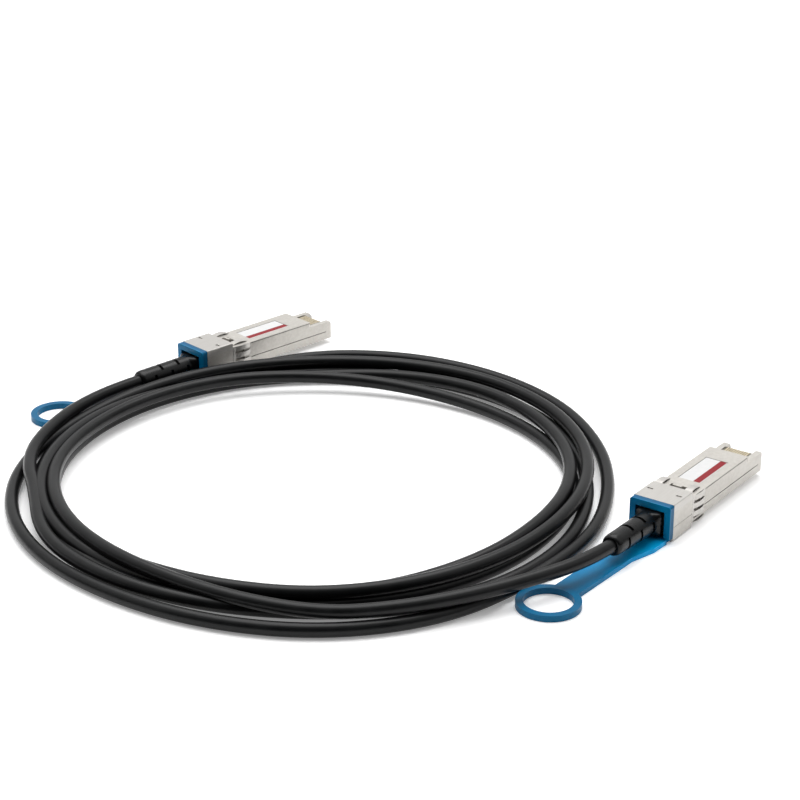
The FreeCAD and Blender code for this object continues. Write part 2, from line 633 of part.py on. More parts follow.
def build_spring(end, placement):
    """Leaf spring under the nose cover that presses on the rocker's tail."""
    body = new_body(f"{end}_return_spring", placement)
    roof = "(nose_height - cover_gauge)"
    wide = "spring_width / 2"
    bend = "(-pivot_back - spring_bend)"
    touch = "(-pivot_back - spring_touch)"
    extrude(body, "leaf", "XZ_Plane", f"-{wide}", wide, [[
        ("-spring_front", roof), ("-spring_front", f"{roof} - spring_gauge"),
        (bend, f"{roof} - spring_gauge"), (touch, "tail_high"),
        (f"{touch} - spring_tip", "tail_high"),
        (f"{touch} - spring_tip", "tail_high + spring_gauge"),
        (f"{touch} + 0.05", "tail_high + spring_gauge"), (bend, roof)]])
    return body


def build_pull_tab(end, placement, lean):
    """Pull tab: a frame behind the nose, a tongue on the floor and a finger ring."""
    body = new_body(f"{end}_pull_tab", placement)
    front = "(-nose_length - frame_gap)"
    rear = "(-nose_length - frame_gap - frame_depth)"
    wide = "nose_width / 2"
    corner = "(nose_width / 2 - frame_chamfer)"
    extrude(body, "frame", "YZ_Plane", rear, front, [[
        (f"-{corner}", "0"), (corner, "0"), (wide, "frame_chamfer"), (wide, "nose_height"),
        (f"-{wide}", "nose_height"), (f"-{wide}", "frame_chamfer")]])
    dress(body, "frame_edges", "Fillet", "frame_round",
          lambda edge: runs_along(edge, "x", y=size(wide), z=size("nose_height")))
    extrude(body, "window", "YZ_Plane", "-nose_length - frame_depth - 1", "-nose_length + 1",
            [box("-frame_window / 2", "frame_window / 2", "window_low", "window_high")], cut=True)
    extrude(body, "strap_socket", "XZ_Plane", "-slider_width / 2", "slider_width / 2",
            [box("-strap_reach", "-nose_length + 1", "strap_low", "strap_high")], cut=True)
    apron = f"({rear} - apron_length)"
    neck = f"({rear} - apron_length - neck_length)"
    end_line = "(-ring_reach + ring_diameter / 2 - ring_width / 2)"

    def swept(x, y):
        return (x, f"{y} + {lean} * ({rear} - {x})")

    extrude(body, "tongue", "XY_Plane", "0", "tongue_gauge", [[
        (f"{rear} + 0.6", f"-{corner}"), (rear, "-apron_width / 2"),
        swept(apron, "-apron_width / 2"), swept(neck, "-tongue_width / 2"),
        swept(end_line, "-tongue_width / 2"), swept(end_line, "tongue_width / 2"),
        swept(neck, "tongue_width / 2"), swept(apron, "apron_width / 2"),
        (rear, "apron_width / 2"), (f"{rear} + 0.6", corner)]])
    ring_y = f"{lean} * ({rear} + ring_reach)"
    extrude(body, "ring", "XY_Plane", "0", "ring_gauge",
            [("-ring_reach", ring_y, "ring_diameter")])
    extrude(body, "finger_hole", "XY_Plane", "-1", "ring_gauge + 1",
            [("-ring_reach", ring_y, "ring_diameter - 2 * ring_width")], cut=True)
    return body


def boot_placement(placement, lift):
    """The boot tilts about the middle of its anchor."""
    pivot = Vector(-size("anchor_rear + anchor_front") / 2, 0, size("cable_height"))
    tilt = Placement(Vector(), Rotation(Vector(0, 1, 0), size(lift)), pivot)
    return placement.multiply(tilt)


def build_boot(end, placement, lift):
    """Strain relief boot: anchor and neck in the nose, slit flexible sleeve outside."""
    body = new_body(f"{end}_strain_boot", boot_placement(placement, lift))
    axis = "cable_height"
    extrude(body, "anchor", "XZ_Plane", "-anchor_width / 2", "anchor_width / 2",
            [box("-anchor_rear", "-anchor_front", f"{axis} - anchor_height / 2",
                 f"{axis} + anchor_height / 2")])
    sketch = new_sketch(body, "sleeve_outline", "XZ_Plane", rise=axis)
    draw_polygon(sketch, [
        ("-boot_reach", "0"), ("-boot_reach", "boot_mouth / 2"),
        ("-boot_reach + boot_nose / 3", "boot_mouth / 4 + boot_end_diameter / 4"),
        ("-boot_reach + boot_nose", "boot_end_diameter / 2"),
        ("-boot_start", "boot_diameter / 2"), ("-boot_start", "neck_diameter / 2"),
        ("-anchor_rear + 0.5", "neck_diameter / 2"), ("-anchor_rear + 0.5", "0")])
    sleeve = body.newObject("PartDesign::Revolution", "sleeve")
    sleeve.Profile = sketch
    sleeve.ReferenceAxis = (sketch, ["H_Axis"])
    sleeve.Angle = 360
    doc.recompute()
    slits = []
    for index in range(5):
        outward = "1" if index % 2 else "-1"
        start = f"(-slit_place - {index} * slit_pitch / 2)"
        core = f"({axis} + {outward} * slit_core / 2)"
        edge = f"({axis} + {outward} * boot_diameter)"
        slits.append(box(f"{start} - slit_width", start, core, edge))
    extrude(body, "slits", "XZ_Plane", "-boot_diameter", "boot_diameter", slits, cut=True)
    seat = new_sketch(body, "cable_seat_outline", "YZ_Plane", "-boot_reach + cable_seat / 2")
    draw_circle(seat, "0", axis, "cable_diameter")
    bore = body.newObject("PartDesign::Pocket", "cable_seat")
    bore.Profile = seat
    bore.SideType = "Symmetric"
    bind(bore, "Length", "cable_seat")
    doc.recompute()
    return body


def build_label(end, placement):
    """Blank label in its pocket: a pale field and a red stripe."""
    body = new_body(f"{end}_label", placement)
    low = "(body_rise + body_height - label_recess)"
    extrude(body, "sheet", "XY_Plane", low, f"{low} + label_film",
            [box("label_place", "label_place + label_length", "-label_width / 2",
                 "label_width / 2")])
    return body


def build_plug(end, placement, lean, lift):
    build_lower_shell(end, placement)
    build_upper_shell(end, placement)
    build_nose_cover(end, placement)
    build_card(end, placement)
    build_contacts(end, placement)
    build_chip(end, placement)
    build_conductors(end, placement)
    build_ferrule(end, placement)
    build_collar(end, placement)
    build_rocker(end, placement)
    build_pin(end, placement)
    build_slider(end, placement)
    build_spring(end, placement)
    build_pull_tab(end, placement, lean)
    build_boot(end, placement, lift)
    build_label(end, placement)


def route_tube(label, points):
    """A round tube along straight runs joined by tangent arcs."""
    edges = []
    radii = []
    start = points[0]
    for before, corner, after in zip(points, points[1:], points[2:]):
        inward = (corner - before).normalize()
        outward = (after - corner).normalize()
        turn = inward.getAngle(outward)
        shorter = min((corner - before).Length, (after - corner).Length)
        setback = ARC_SHARE * shorter
        radius = setback / math.tan(turn / 2)
        radii.append(radius)
        arc_start = corner - inward * setback
        arc_end = corner + outward * setback
        bisector = (outward - inward).normalize()
        centre = corner + bisector * (radius / math.cos(turn / 2))
        arc_middle = centre - bisector * radius
        edges.append(Part.LineSegment(start, arc_start).toShape())
        edges.append(Part.Arc(arc_start, arc_middle, arc_end).toShape())
        start = arc_end
    edges.append(Part.LineSegment(start, points[-1]).toShape())
    spine = Part.Wire(edges)
    first = (points[1] - points[0]).normalize()
    section = Part.Wire(Part.makeCircle(size("cable_diameter") / 2, points[0], first))
    tube = spine.makePipeShell([section], True, False)
    expected = math.pi * size("cable_diameter") ** 2 / 4 * spine.Length
    print(f"{label}: length {spine.Length:.1f} mm, bend radii",
          ", ".join(f"{radius:.0f}" for radius in radii),
          f"mm, volume {tube.Volume:.1f} of {expected:.1f} mm3, z from {tube.BoundBox.ZMin:.2f}")
    return add_shape(label, tube, Placement())


def build_coil():
    """The coiled turns as one closed oval ring."""
    outer = doc.addObject("Part::Ellipse", "coil_outline")
    bind(outer, "MajorRadius", "coil_long")
    bind(outer, "MinorRadius", "coil_short")
    outer.Placement = Placement(Vector(*COIL_MIDDLE, 0), Rotation(Vector(0, 0, 1), size("coil_turn")))
    block = doc.addObject("Part::Extrusion", "coil_block")
    block.Base = outer
    block.DirMode = "Custom"
    block.Dir = Vector(0, 0, 1)
    block.Solid = True
    bind(block, "LengthFwd", "coil_height")
    hole = doc.addObject("Part::Cylinder", "coil_hole_block")
    bind(hole, "Radius", "coil_hole / 2")
    bind(hole, "Height", "coil_height")
    hole.Placement = Placement(Vector(*HOLE_MIDDLE, 0), Rotation())
    ring = doc.addObject("Part::Cut", "coil_ring")
    ring.Base = block
    ring.Tool = hole
    doc.recompute()
    coil = doc.addObject("Part::Chamfer", "cable_coil")
    coil.Base = ring
    bevel = size("coil_bevel")
    flat = [number for number, edge in enumerate(ring.Shape.Edges, 1)
            if edge.BoundBox.ZLength < 1e-6]
    coil.Edges = [(number, bevel, bevel) for number in flat]
    coil.Label = "cable_coil"
    SUBPARTS.append(coil)


near_place = Placement(Vector(size("nose_length / 2"), 0, 0), Rotation())
far_place = Placement(Vector(*FAR_STOP, 0), Rotation(Vector(0, 0, 1), FAR_TURN))
build_plug("near", near_place, "near_lean", "near_lift")
build_plug("far", far_place, "far_lean", "far_lift")


def boot_point(placement, lift, back):
    """A point on the boot's axis, measured back from the stop shoulder."""
    local = Vector(-back, 0, size("cable_height"))
    return boot_placement(placement, lift).multVec(local)


seat_back = size("boot_reach - cable_seat")
route_tube("near_lead", [
    boot_point(near_place, "near_lift", seat_back),
    boot_point(near_place, "near_lift", seat_back + 15.0),
    Vector(-60.5, 7.0, 7.1),
    Vector(-80.0, 17.0, 6.8),
    Vector(-97.5, 29.8, 6.4),
    Vector(-110.5, 45.6, 5.6),
])
route_tube("far_lead", [
    boot_point(far_place, "far_lift", seat_back),
    boot_point(far_place, "far_lift", seat_back + 14.0),
    Vector(-45.0, 199.2, 6.5),
    Vector(-62.0, 194.8, 6.5),
    Vector(-77.0, 188.2, 6.3),
    Vector(-89.0, 178.6, 6.0),
    Vector(-97.5, 167.5, 5.6),
])
build_coil()
doc.recompute()

os.makedirs("parts", exist_ok=True)
for item in doc.Objects:
    if "Invalid" in item.State or "Error" in item.State:
        raise RuntimeError(f"{item.Label}: {item.State}")
for item in SUBPARTS:
    if item.Shape.isNull() or not item.Shape.isValid():
        raise RuntimeError(f"{item.Label} is not a valid solid")
    if item.Shape.Volume <= 0 or not item.Shape.Solids:
        raise RuntimeError(f"{item.Label} has no volume")
    item.Shape.exportStep(f"parts/{item.Label}.step")
print(len(SUBPARTS), "sub-parts")
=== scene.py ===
import math
import bpy
from mathutils import Matrix, Vector


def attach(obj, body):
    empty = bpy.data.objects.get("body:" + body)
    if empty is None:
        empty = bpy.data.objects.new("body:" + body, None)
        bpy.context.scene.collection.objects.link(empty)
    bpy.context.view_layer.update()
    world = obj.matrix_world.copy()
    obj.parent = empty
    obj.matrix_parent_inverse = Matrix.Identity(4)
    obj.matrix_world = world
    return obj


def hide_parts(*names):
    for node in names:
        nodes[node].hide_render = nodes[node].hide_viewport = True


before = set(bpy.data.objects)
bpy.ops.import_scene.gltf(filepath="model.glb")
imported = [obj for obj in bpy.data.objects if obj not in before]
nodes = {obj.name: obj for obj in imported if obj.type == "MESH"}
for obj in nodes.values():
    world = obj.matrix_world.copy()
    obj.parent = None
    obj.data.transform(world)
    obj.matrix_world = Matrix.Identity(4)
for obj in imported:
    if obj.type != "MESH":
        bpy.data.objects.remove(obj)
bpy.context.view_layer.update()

MM = 0.001
ENDS = ("near", "far")
# Each plug's stop shoulder on the floor, in metres, and its turn about the vertical.
STOP = {"near": (0.00575, 0.0), "far": (0.02035, 0.19135)}
TURN = {"near": 0.0, "far": math.radians(-10.75)}


# ---- shader helpers ---------------------------------------------------------------------------

# How far the painted shade in joints and grooves looks for nearby surfaces.
CREASE_SHADE_REACH = 0.7 * MM


def new_material(name):
    """A node material, its tree and its main shader."""
    mat = bpy.data.materials.new(name)
    mat.use_nodes = True
    tree = mat.node_tree
    return mat, tree, tree.nodes["Principled BSDF"]


def add(tree, kind, **inputs):
    """A new node with its inputs set."""
    node = tree.nodes.new(kind)
    for key, value in inputs.items():
        node.inputs[key.replace("_", " ")].default_value = value
    return node


def place(tree, stretch=(1, 1, 1), end="near"):
    """The plug's own coordinates in metres, from its stop shoulder, stretched."""
    coord = tree.nodes.new("ShaderNodeTexCoord")
    turn = tree.nodes.new("ShaderNodeMapping")
    turn.vector_type = "TEXTURE"
    turn.inputs["Location"].default_value = STOP[end] + (0.0,)
    turn.inputs["Rotation"].default_value = (0.0, 0.0, TURN[end])
    scale = tree.nodes.new("ShaderNodeMapping")
    scale.inputs["Scale"].default_value = stretch
    tree.links.new(coord.outputs["Object"], turn.inputs["Vector"])
    tree.links.new(turn.outputs["Vector"], scale.inputs["Vector"])
    return scale.outputs["Vector"]


def noise(tree, vector, scale, detail=3.0, rough=0.5):
    """Noise from 0 to 1, in waves per metre."""
    node = add(tree, "ShaderNodeTexNoise", Scale=scale, Detail=detail, Roughness=rough)
    tree.links.new(vector, node.inputs["Vector"])
    return node.outputs["Fac"]


def ramp(tree, fac, low, high, at=(0.0, 1.0)):
    """A colour between low and high as fac goes through the range at."""
    node = tree.nodes.new("ShaderNodeValToRGB")
    ends = node.color_ramp.elements
    ends[0].position, ends[1].position = at
    ends[0].color, ends[1].color = low, high
    tree.links.new(fac, node.inputs["Fac"])
    return node.outputs["Color"]


def spread(tree, fac, low, high, between=(0.0, 1.0)):
    """A value between low and high as fac goes through the range between."""
    node = tree.nodes.new("ShaderNodeMapRange")
    node.inputs["From Min"].default_value, node.inputs["From Max"].default_value = between
    node.inputs["To Min"].default_value, node.inputs["To Max"].default_value = low, high
    tree.links.new(fac, node.inputs["Value"])
    return node.outputs["Result"]


def bump(tree, bsdf, height, strength, distance):
    """Shades the surface as if it rose by height, at most by distance."""
    node = add(tree, "ShaderNodeBump", Strength=strength, Distance=distance)
    tree.links.new(height, node.inputs["Height"])
    tree.links.new(node.outputs["Normal"], bsdf.inputs["Normal"])


def painted_crease_shade(tree, colour, bsdf):
    """Darkens narrow joints and grooves with painted shade, found by ambient occlusion."""
    crease = add(tree, "ShaderNodeAmbientOcclusion", Distance=CREASE_SHADE_REACH)
    crease.samples = 6
    depth = spread(tree, crease.outputs["AO"], 0.10, 1.0, between=(0.25, 0.62))
    shaded = blend(tree, 1.0, colour, depth, "MULTIPLY")
    tree.links.new(shaded, bsdf.inputs["Base Color"])


def grey(value):
    """A grey of this brightness."""
    return (value, value, value, 1.0)


def blend(tree, fac, first, second, kind="MIX"):
    """Two colours mixed by a number or by a socket."""
    node = tree.nodes.new("ShaderNodeMix")
    node.data_type = "RGBA"
    node.blend_type = kind
    if isinstance(fac, float):
        node.inputs["Factor"].default_value = fac
    else:
        tree.links.new(fac, node.inputs["Factor"])
    tree.links.new(first, node.inputs["A"])
    tree.links.new(second, node.inputs["B"])
    return node.outputs["Result"]


# ---- materials --------------------------------------------------------------------------------

def cast_metal(end):
    """Nickel-plated zinc: satin, faintly mottled, with rubbed patches."""
    mat, tree, bsdf = new_material("cast_metal_" + end)
    where = place(tree, end=end)
    mottle = noise(tree, where, scale=900.0, detail=5.0, rough=0.6)
    dull, bright = (0.50, 0.478, 0.442, 1), (0.565, 0.542, 0.505, 1)
    colour = ramp(tree, mottle, dull, bright, at=(0.35, 0.68))
    # Painted shade darkens the casting's joints and grooves.
    painted_crease_shade(tree, colour, bsdf)
    bsdf.inputs["Metallic"].default_value = 0.6
    rubbed = noise(tree, where, scale=260.0)
    rough = spread(tree, rubbed, 0.38, 0.50, between=(0.35, 0.7))
    tree.links.new(rough, bsdf.inputs["Roughness"])
    grain = noise(tree, where, scale=5200.0, detail=2.0)
    bump(tree, bsdf, grain, strength=0.12, distance=0.03 * MM)
    return mat


def stamped_steel(end):
    """Bare spring steel: cooler and glossier than the casting, with lengthwise rolling marks."""
    mat, tree, bsdf = new_material("stamped_steel_" + end)
    rolled = noise(tree, place(tree, (120.0, 4200.0, 4200.0), end), scale=1.0, detail=4.0, rough=0.6)
    dull, bright = (0.50, 0.482, 0.455, 1), (0.565, 0.547, 0.52, 1)
    colour = ramp(tree, rolled, dull, bright, at=(0.3, 0.7))
    # Painted shade darkens the steel's joints and grooves.
    painted_crease_shade(tree, colour, bsdf)
    bsdf.inputs["Metallic"].default_value = 0.65
    tree.links.new(spread(tree, rolled, 0.32, 0.42), bsdf.inputs["Roughness"])
    bump(tree, bsdf, rolled, strength=0.06, distance=0.02 * MM)
    return mat


# The pull tab's blues from its frame to its ring: (share of the way back, colour). The tongue's
# brighter blues are painted light shining through the thin plastic. The way back is along the
# plug's own x, in metres.
TAB_FRONT = -0.01
TAB_BACK = -0.07
TAB_BLUES_AND_GLOW = (
    (0.05, (0.002, 0.105, 0.230, 1)), (0.10, (0.000, 0.400, 0.800, 1)),
    (0.45, (0.000, 0.265, 0.570, 1)), (0.80, (0.001, 0.120, 0.255, 1)),
)


def moulded_blue(end):
    """Translucent blue plastic: deep in the frame and ring, with painted light brightening the thin
    tongue.
    """
    mat, tree, bsdf = new_material("moulded_blue_" + end)
    where = place(tree, end=end)
    cloud = noise(tree, where, scale=120.0, detail=2.0)
    apart = tree.nodes.new("ShaderNodeSeparateXYZ")
    tree.links.new(where, apart.inputs["Vector"])
    back = spread(tree, apart.outputs["X"], 1.0, 0.0, between=(TAB_BACK, TAB_FRONT))
    # The tongue's brighter blues are painted light shining through the thin plastic.
    (first, frame_blue), *tongue_glow_blues, (last, ring_blue) = TAB_BLUES_AND_GLOW
    along = ramp(tree, back, frame_blue, ring_blue, at=(first, last))
    for share, colour in tongue_glow_blues:
        along.node.color_ramp.elements.new(share).color = colour
    clouded = ramp(tree, cloud, grey(0.86), grey(1.0), at=(0.3, 0.7))
    tree.links.new(blend(tree, 1.0, along, clouded, "MULTIPLY"), bsdf.inputs["Base Color"])
    bsdf.inputs["Roughness"].default_value = 0.36
    bsdf.inputs["Specular IOR Level"].default_value = 0.15
    bsdf.inputs["Subsurface Weight"].default_value = 0.15
    bsdf.inputs["Subsurface Radius"].default_value = (0.0004, 0.0012, 0.0024)
    bump(tree, bsdf, noise(tree, where, scale=2600.0), strength=0.08, distance=0.04 * MM)
    return mat


def cable_jacket():
    """Charcoal vinyl: satin, faintly clouded, with a fine grain."""
    mat, tree, bsdf = new_material("cable_jacket")
    where = place(tree)
    cloud = noise(tree, where, scale=160.0, detail=4.0, rough=0.55)
    deep, pale = (0.0035, 0.0037, 0.0040, 1), (0.0080, 0.0082, 0.0086, 1)
    colour = ramp(tree, cloud, deep, pale, at=(0.3, 0.72))
    tree.links.new(colour, bsdf.inputs["Base Color"])
    tree.links.new(spread(tree, cloud, 0.27, 0.36), bsdf.inputs["Roughness"])
    bsdf.inputs["Specular IOR Level"].default_value = 0.22
    grain = noise(tree, where, scale=3400.0, detail=2.0)
    bump(tree, bsdf, grain, strength=0.18, distance=0.04 * MM)
    return mat


def boot_rubber():
    """Soft black moulded rubber with a faint grain."""
    mat, tree, bsdf = new_material("boot_rubber")
    where = place(tree)
    cloud = noise(tree, where, scale=380.0, detail=4.0)
    deep, pale = (0.0020, 0.0022, 0.0024, 1), (0.0045, 0.0048, 0.0050, 1)
    colour = ramp(tree, cloud, deep, pale, at=(0.3, 0.7))
    tree.links.new(colour, bsdf.inputs["Base Color"])
    tree.links.new(spread(tree, cloud, 0.22, 0.34), bsdf.inputs["Roughness"])
    bsdf.inputs["Specular IOR Level"].default_value = 0.25
    bump(tree, bsdf, noise(tree, where, scale=4200.0), strength=0.2, distance=0.05 * MM)
    return mat


def board_resin():
    """Dark resin of the paddle card, faintly mottled."""
    mat, tree, bsdf = new_material("board_resin")
    where = place(tree)
    mottle = noise(tree, where, scale=1500.0, detail=2.0)
    colour = ramp(tree, mottle, (0.110, 0.098, 0.070, 1), (0.165, 0.148, 0.110, 1))
    tree.links.new(colour, bsdf.inputs["Base Color"])
    bsdf.inputs["Roughness"].default_value = 0.45
    bump(tree, bsdf, mottle, strength=0.1, distance=0.03 * MM)
    return mat


def plated_gold(end):
    """Pale hard gold with lengthwise wear."""
    mat, tree, bsdf = new_material("plated_gold_" + end)
    wear = noise(tree, place(tree, (400.0, 3000.0, 3000.0), end), scale=1.0)
    colour = ramp(tree, wear, (0.72, 0.60, 0.40, 1), (0.84, 0.74, 0.54, 1))
    tree.links.new(colour, bsdf.inputs["Base Color"])
    bsdf.inputs["Metallic"].default_value = 1.0
    tree.links.new(spread(tree, wear, 0.22, 0.36), bsdf.inputs["Roughness"])
    return mat


def chip_black():
    """Matt black chip housing."""
    mat, tree, bsdf = new_material("chip_black")
    grain = noise(tree, place(tree), scale=6000.0)
    tree.links.new(ramp(tree, grain, grey(0.018), grey(0.035)), bsdf.inputs["Base Color"])
    bsdf.inputs["Roughness"].default_value = 0.6
    bump(tree, bsdf, grain, strength=0.3, distance=0.04 * MM)
    return mat


def wire_insulation():
    """Milky insulation of the conductors."""
    mat, tree, bsdf = new_material("wire_insulation")
    cloud = noise(tree, place(tree), scale=700.0)
    colour = ramp(tree, cloud, (0.62, 0.60, 0.55, 1), (0.74, 0.72, 0.68, 1))
    tree.links.new(colour, bsdf.inputs["Base Color"])
    bsdf.inputs["Roughness"].default_value = 0.42
    bsdf.inputs["Subsurface Weight"].default_value = 0.2
    bsdf.inputs["Subsurface Radius"].default_value = (0.0005, 0.0005, 0.0005)
    return mat


# Across the label, in mm, positive to the plug's left: the red band's edges, and half the room
# the band is placed in.
BAND = (-3.5, -1.3)
BAND_ROOM = 4.0


def label_film(end):
    """Bare satin label film with a red band along its right side."""
    mat, tree, bsdf = new_material("label_film_" + end)
    where = place(tree, end=end)
    cloud = noise(tree, where, scale=500.0)
    field = ramp(tree, cloud, grey(0.60), grey(0.69))
    red = ramp(tree, cloud, (0.215, 0.003, 0.008, 1), (0.265, 0.004, 0.011, 1))
    apart = tree.nodes.new("ShaderNodeSeparateXYZ")
    tree.links.new(where, apart.inputs["Vector"])
    across = spread(tree, apart.outputs["Y"], 0.0, 1.0, between=(-BAND_ROOM * MM, BAND_ROOM * MM))
    start, stop = [(edge + BAND_ROOM) / (2.0 * BAND_ROOM) for edge in BAND]
    band = tree.nodes.new("ShaderNodeValToRGB")
    band.color_ramp.interpolation = "CONSTANT"
    band.color_ramp.elements[0].color = grey(0.0)
    band.color_ramp.elements[1].position = start
    band.color_ramp.elements[1].color = grey(1.0)
    band.color_ramp.elements.new(stop).color = grey(0.0)
    tree.links.new(across, band.inputs["Fac"])
    colour = blend(tree, band.outputs["Color"], field, red)
    tree.links.new(colour, bsdf.inputs["Base Color"])
    bsdf.inputs["Roughness"].default_value = 0.4
    bsdf.inputs["Specular IOR Level"].default_value = 0.2
    return mat


def plug_materials(end):
    """One material for each kind of piece in a plug."""
    metal, steel = cast_metal(end), stamped_steel(end)
    return {
        "lower_shell": metal, "upper_shell": metal, "latch_rocker": metal,
        "nose_cover": steel, "pivot_pin": steel, "latch_slider": steel, "return_spring": steel,
        "spring_collar": steel, "ferrule": steel,
        "pull_tab": moulded_blue(end), "strain_boot": boot_rubber(), "paddle_card": board_resin(),
        "gold_contacts": plated_gold(end), "memory_chip": chip_black(),
        "conductors": wire_insulation(), "label": label_film(end),
    }


for end in ENDS:
    for kind, mat in plug_materials(end).items():
        node = nodes[end + "_" + kind]
        node.data.materials.clear()
        node.data.materials.append(mat)


# ---- strain relief boots ----------------------------------------------------------------------

# In mm and degrees. The sleeve is tipped up about a point on its axis, to meet its lead.
BOOT_AXIS = 5.9
BOOT_PIVOT = -8.775
BOOT_LIFT = {"near": 2.3, "far": 0.6}
# (distance behind the stop shoulder, half width, half height, squareness): first the flange,
# then the sleeve and its rounded end.
BOOT_SECTIONS = (
    (12.3, 4.2, 3.5, 8.0), (12.6, 4.4, 3.7, 8.0), (14.6, 4.4, 3.7, 8.0), (15.1, 4.2, 3.6, 6.0),
    (15.7, 3.8, 3.7, 3.0), (16.1, 3.75, 3.75, 2.0), (34.6, 3.4, 3.4, 2.0), (35.4, 3.34, 3.34, 2.0),
    (36.0, 3.2, 3.2, 2.0), (36.5, 2.9, 2.9, 2.0), (36.7, 2.6, 2.6, 2.0),
)
# (distance behind the stop shoulder, radius): the mouth, turned in round the cable.
BOOT_MOUTH = ((36.7, 2.2), (35.9, 2.1))
# (distance behind the stop shoulder, middle of the cut round the boot in degrees)
BOOT_SLITS = ((16.9, 232.0), (20.3, 52.0), (23.8, 232.0), (27.3, 52.0), (30.8, 232.0))
SLIT_WIDE = 1.1
SLIT_WALL = 0.02
SLIT_FLOOR = 2.7
# Degrees to either side of the cut's middle, and over how many of them it runs out.
SLIT_HALF_TURN = 80.0
SLIT_RUN_OUT = 5.0
# Extra cross sections along the sleeve.
SLEEVE_START = 17.0
SLEEVE_STEP = 0.8
SLEEVE_STEPS = 22
BOOT_SIDES = 72
SHARP_ANGLE = 38.0
# A cross section this close to a slit's wall lies in the slit.
TOUCH = 1e-6


def boot_radius(back, angle):
    """Distance of the boot's skin from its axis."""
    for first, second in zip(BOOT_SECTIONS, BOOT_SECTIONS[1:]):
        if back <= second[0]:
            break
    share = (back - first[0]) / (second[0] - first[0])
    wide, high, square = [a + (b - a) * share for a, b in zip(first[1:], second[1:])]
    reach = (abs(math.cos(angle)) / wide) ** square + (abs(math.sin(angle)) / high) ** square
    return reach ** (-1.0 / square)


def slit_share(back, angle):
    """How far the skin sinks into a slit here: 0 outside, 1 on its floor."""
    for start, middle in BOOT_SLITS:
        if start - TOUCH <= back <= start + SLIT_WIDE + TOUCH:
            apart = abs((math.degrees(angle) - middle + 180.0) % 360.0 - 180.0)
            return min(1.0, max(0.0, (SLIT_HALF_TURN - apart) / SLIT_RUN_OUT))
    return 0.0


def boot_rings():
    """The boot's cross sections, as points (distance back, angle, distance from the axis)."""
    stations = [row[0] for row in BOOT_SECTIONS]
    for start, _ in BOOT_SLITS:
        end = start + SLIT_WIDE
        stations += [start - SLIT_WALL, start, end, end + SLIT_WALL]
    stations += [SLEEVE_START + SLEEVE_STEP * step for step in range(SLEEVE_STEPS)]
    angles = [2.0 * math.pi * step / BOOT_SIDES for step in range(BOOT_SIDES)]
    rings = []
    for back in sorted(set(stations)):
        ring = []
        for angle in angles:
            skin = boot_radius(back, angle)
            ring.append((back, angle, skin + (SLIT_FLOOR - skin) * slit_share(back, angle)))
        rings.append(ring)
    for back, reach in BOOT_MOUTH:
        rings.append([(back, angle, reach) for angle in angles])
    return rings


def skin_faces(count, sides):
    """Quads between neighbouring rings, and a cap at either end."""
    faces = [tuple(reversed(range(sides)))]
    for low in range(count - 1):
        for step in range(sides):
            after = (step + 1) % sides
            faces.append((low * sides + step, low * sides + after,
                          (low + 1) * sides + after, (low + 1) * sides + step))
    faces.append(tuple((count - 1) * sides + step for step in range(sides)))
    return faces


def boot(end):
    """The boot with its flange, slit sleeve and rounded mouth."""
    tilt = (Matrix.Translation((BOOT_PIVOT, 0.0, BOOT_AXIS))
            @ Matrix.Rotation(math.radians(BOOT_LIFT[end]), 4, "Y")
            @ Matrix.Translation((-BOOT_PIVOT, 0.0, 0.0)))
    spot = (Matrix.Translation(STOP[end] + (0.0,)) @ Matrix.Rotation(TURN[end], 4, "Z")
            @ Matrix.Scale(MM, 4) @ tilt)
    rings = boot_rings()
    points = [spot @ Vector((-back, reach * math.cos(angle), reach * math.sin(angle)))
              for ring in rings for back, angle, reach in ring]
    mesh = bpy.data.meshes.new(end + "_boot_skin")
    mesh.from_pydata(points, [], skin_faces(len(rings), BOOT_SIDES))
    mesh.validate()
    mesh.shade_smooth()
    mesh.set_sharp_from_angle(angle=math.radians(SHARP_ANGLE))
    mesh.materials.append(boot_rubber())
    piece = bpy.data.objects.new(end + "_boot_skin", mesh)
    bpy.context.scene.collection.objects.link(piece)
    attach(piece, "cable")
    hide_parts(end + "_strain_boot")
    return piece


boots = {end: boot(end) for end in ENDS}


# ---- the cable --------------------------------------------------------------------------------

CABLE_WIDE = 0.0043
# The loose leads, from each boot to the coil, in mm.
NEAR_ROUTE = (
    (-26.231, 0.0, 6.832), (-41.219, 0.0, 7.434), (-60.5, 7.0, 7.1), (-80.0, 17.0, 6.8),
    (-97.5, 29.8, 6.4), (-110.5, 45.6, 5.6),
)
FAR_ROUTE = (
    (-11.089, 197.318, 6.143), (-24.843, 199.929, 6.290), (-45.0, 199.2, 6.5), (-62.0, 194.8, 6.5),
    (-77.0, 188.2, 6.3), (-89.0, 178.6, 6.0), (-97.5, 167.5, 5.6),
)
# The coil: its middle in mm, and where the table of turns starts and how it steps, in degrees.
MIDDLE = (-36.7, 104.5)
FIRST_ANGLE = 215.0
STEP_ANGLE = 30.0
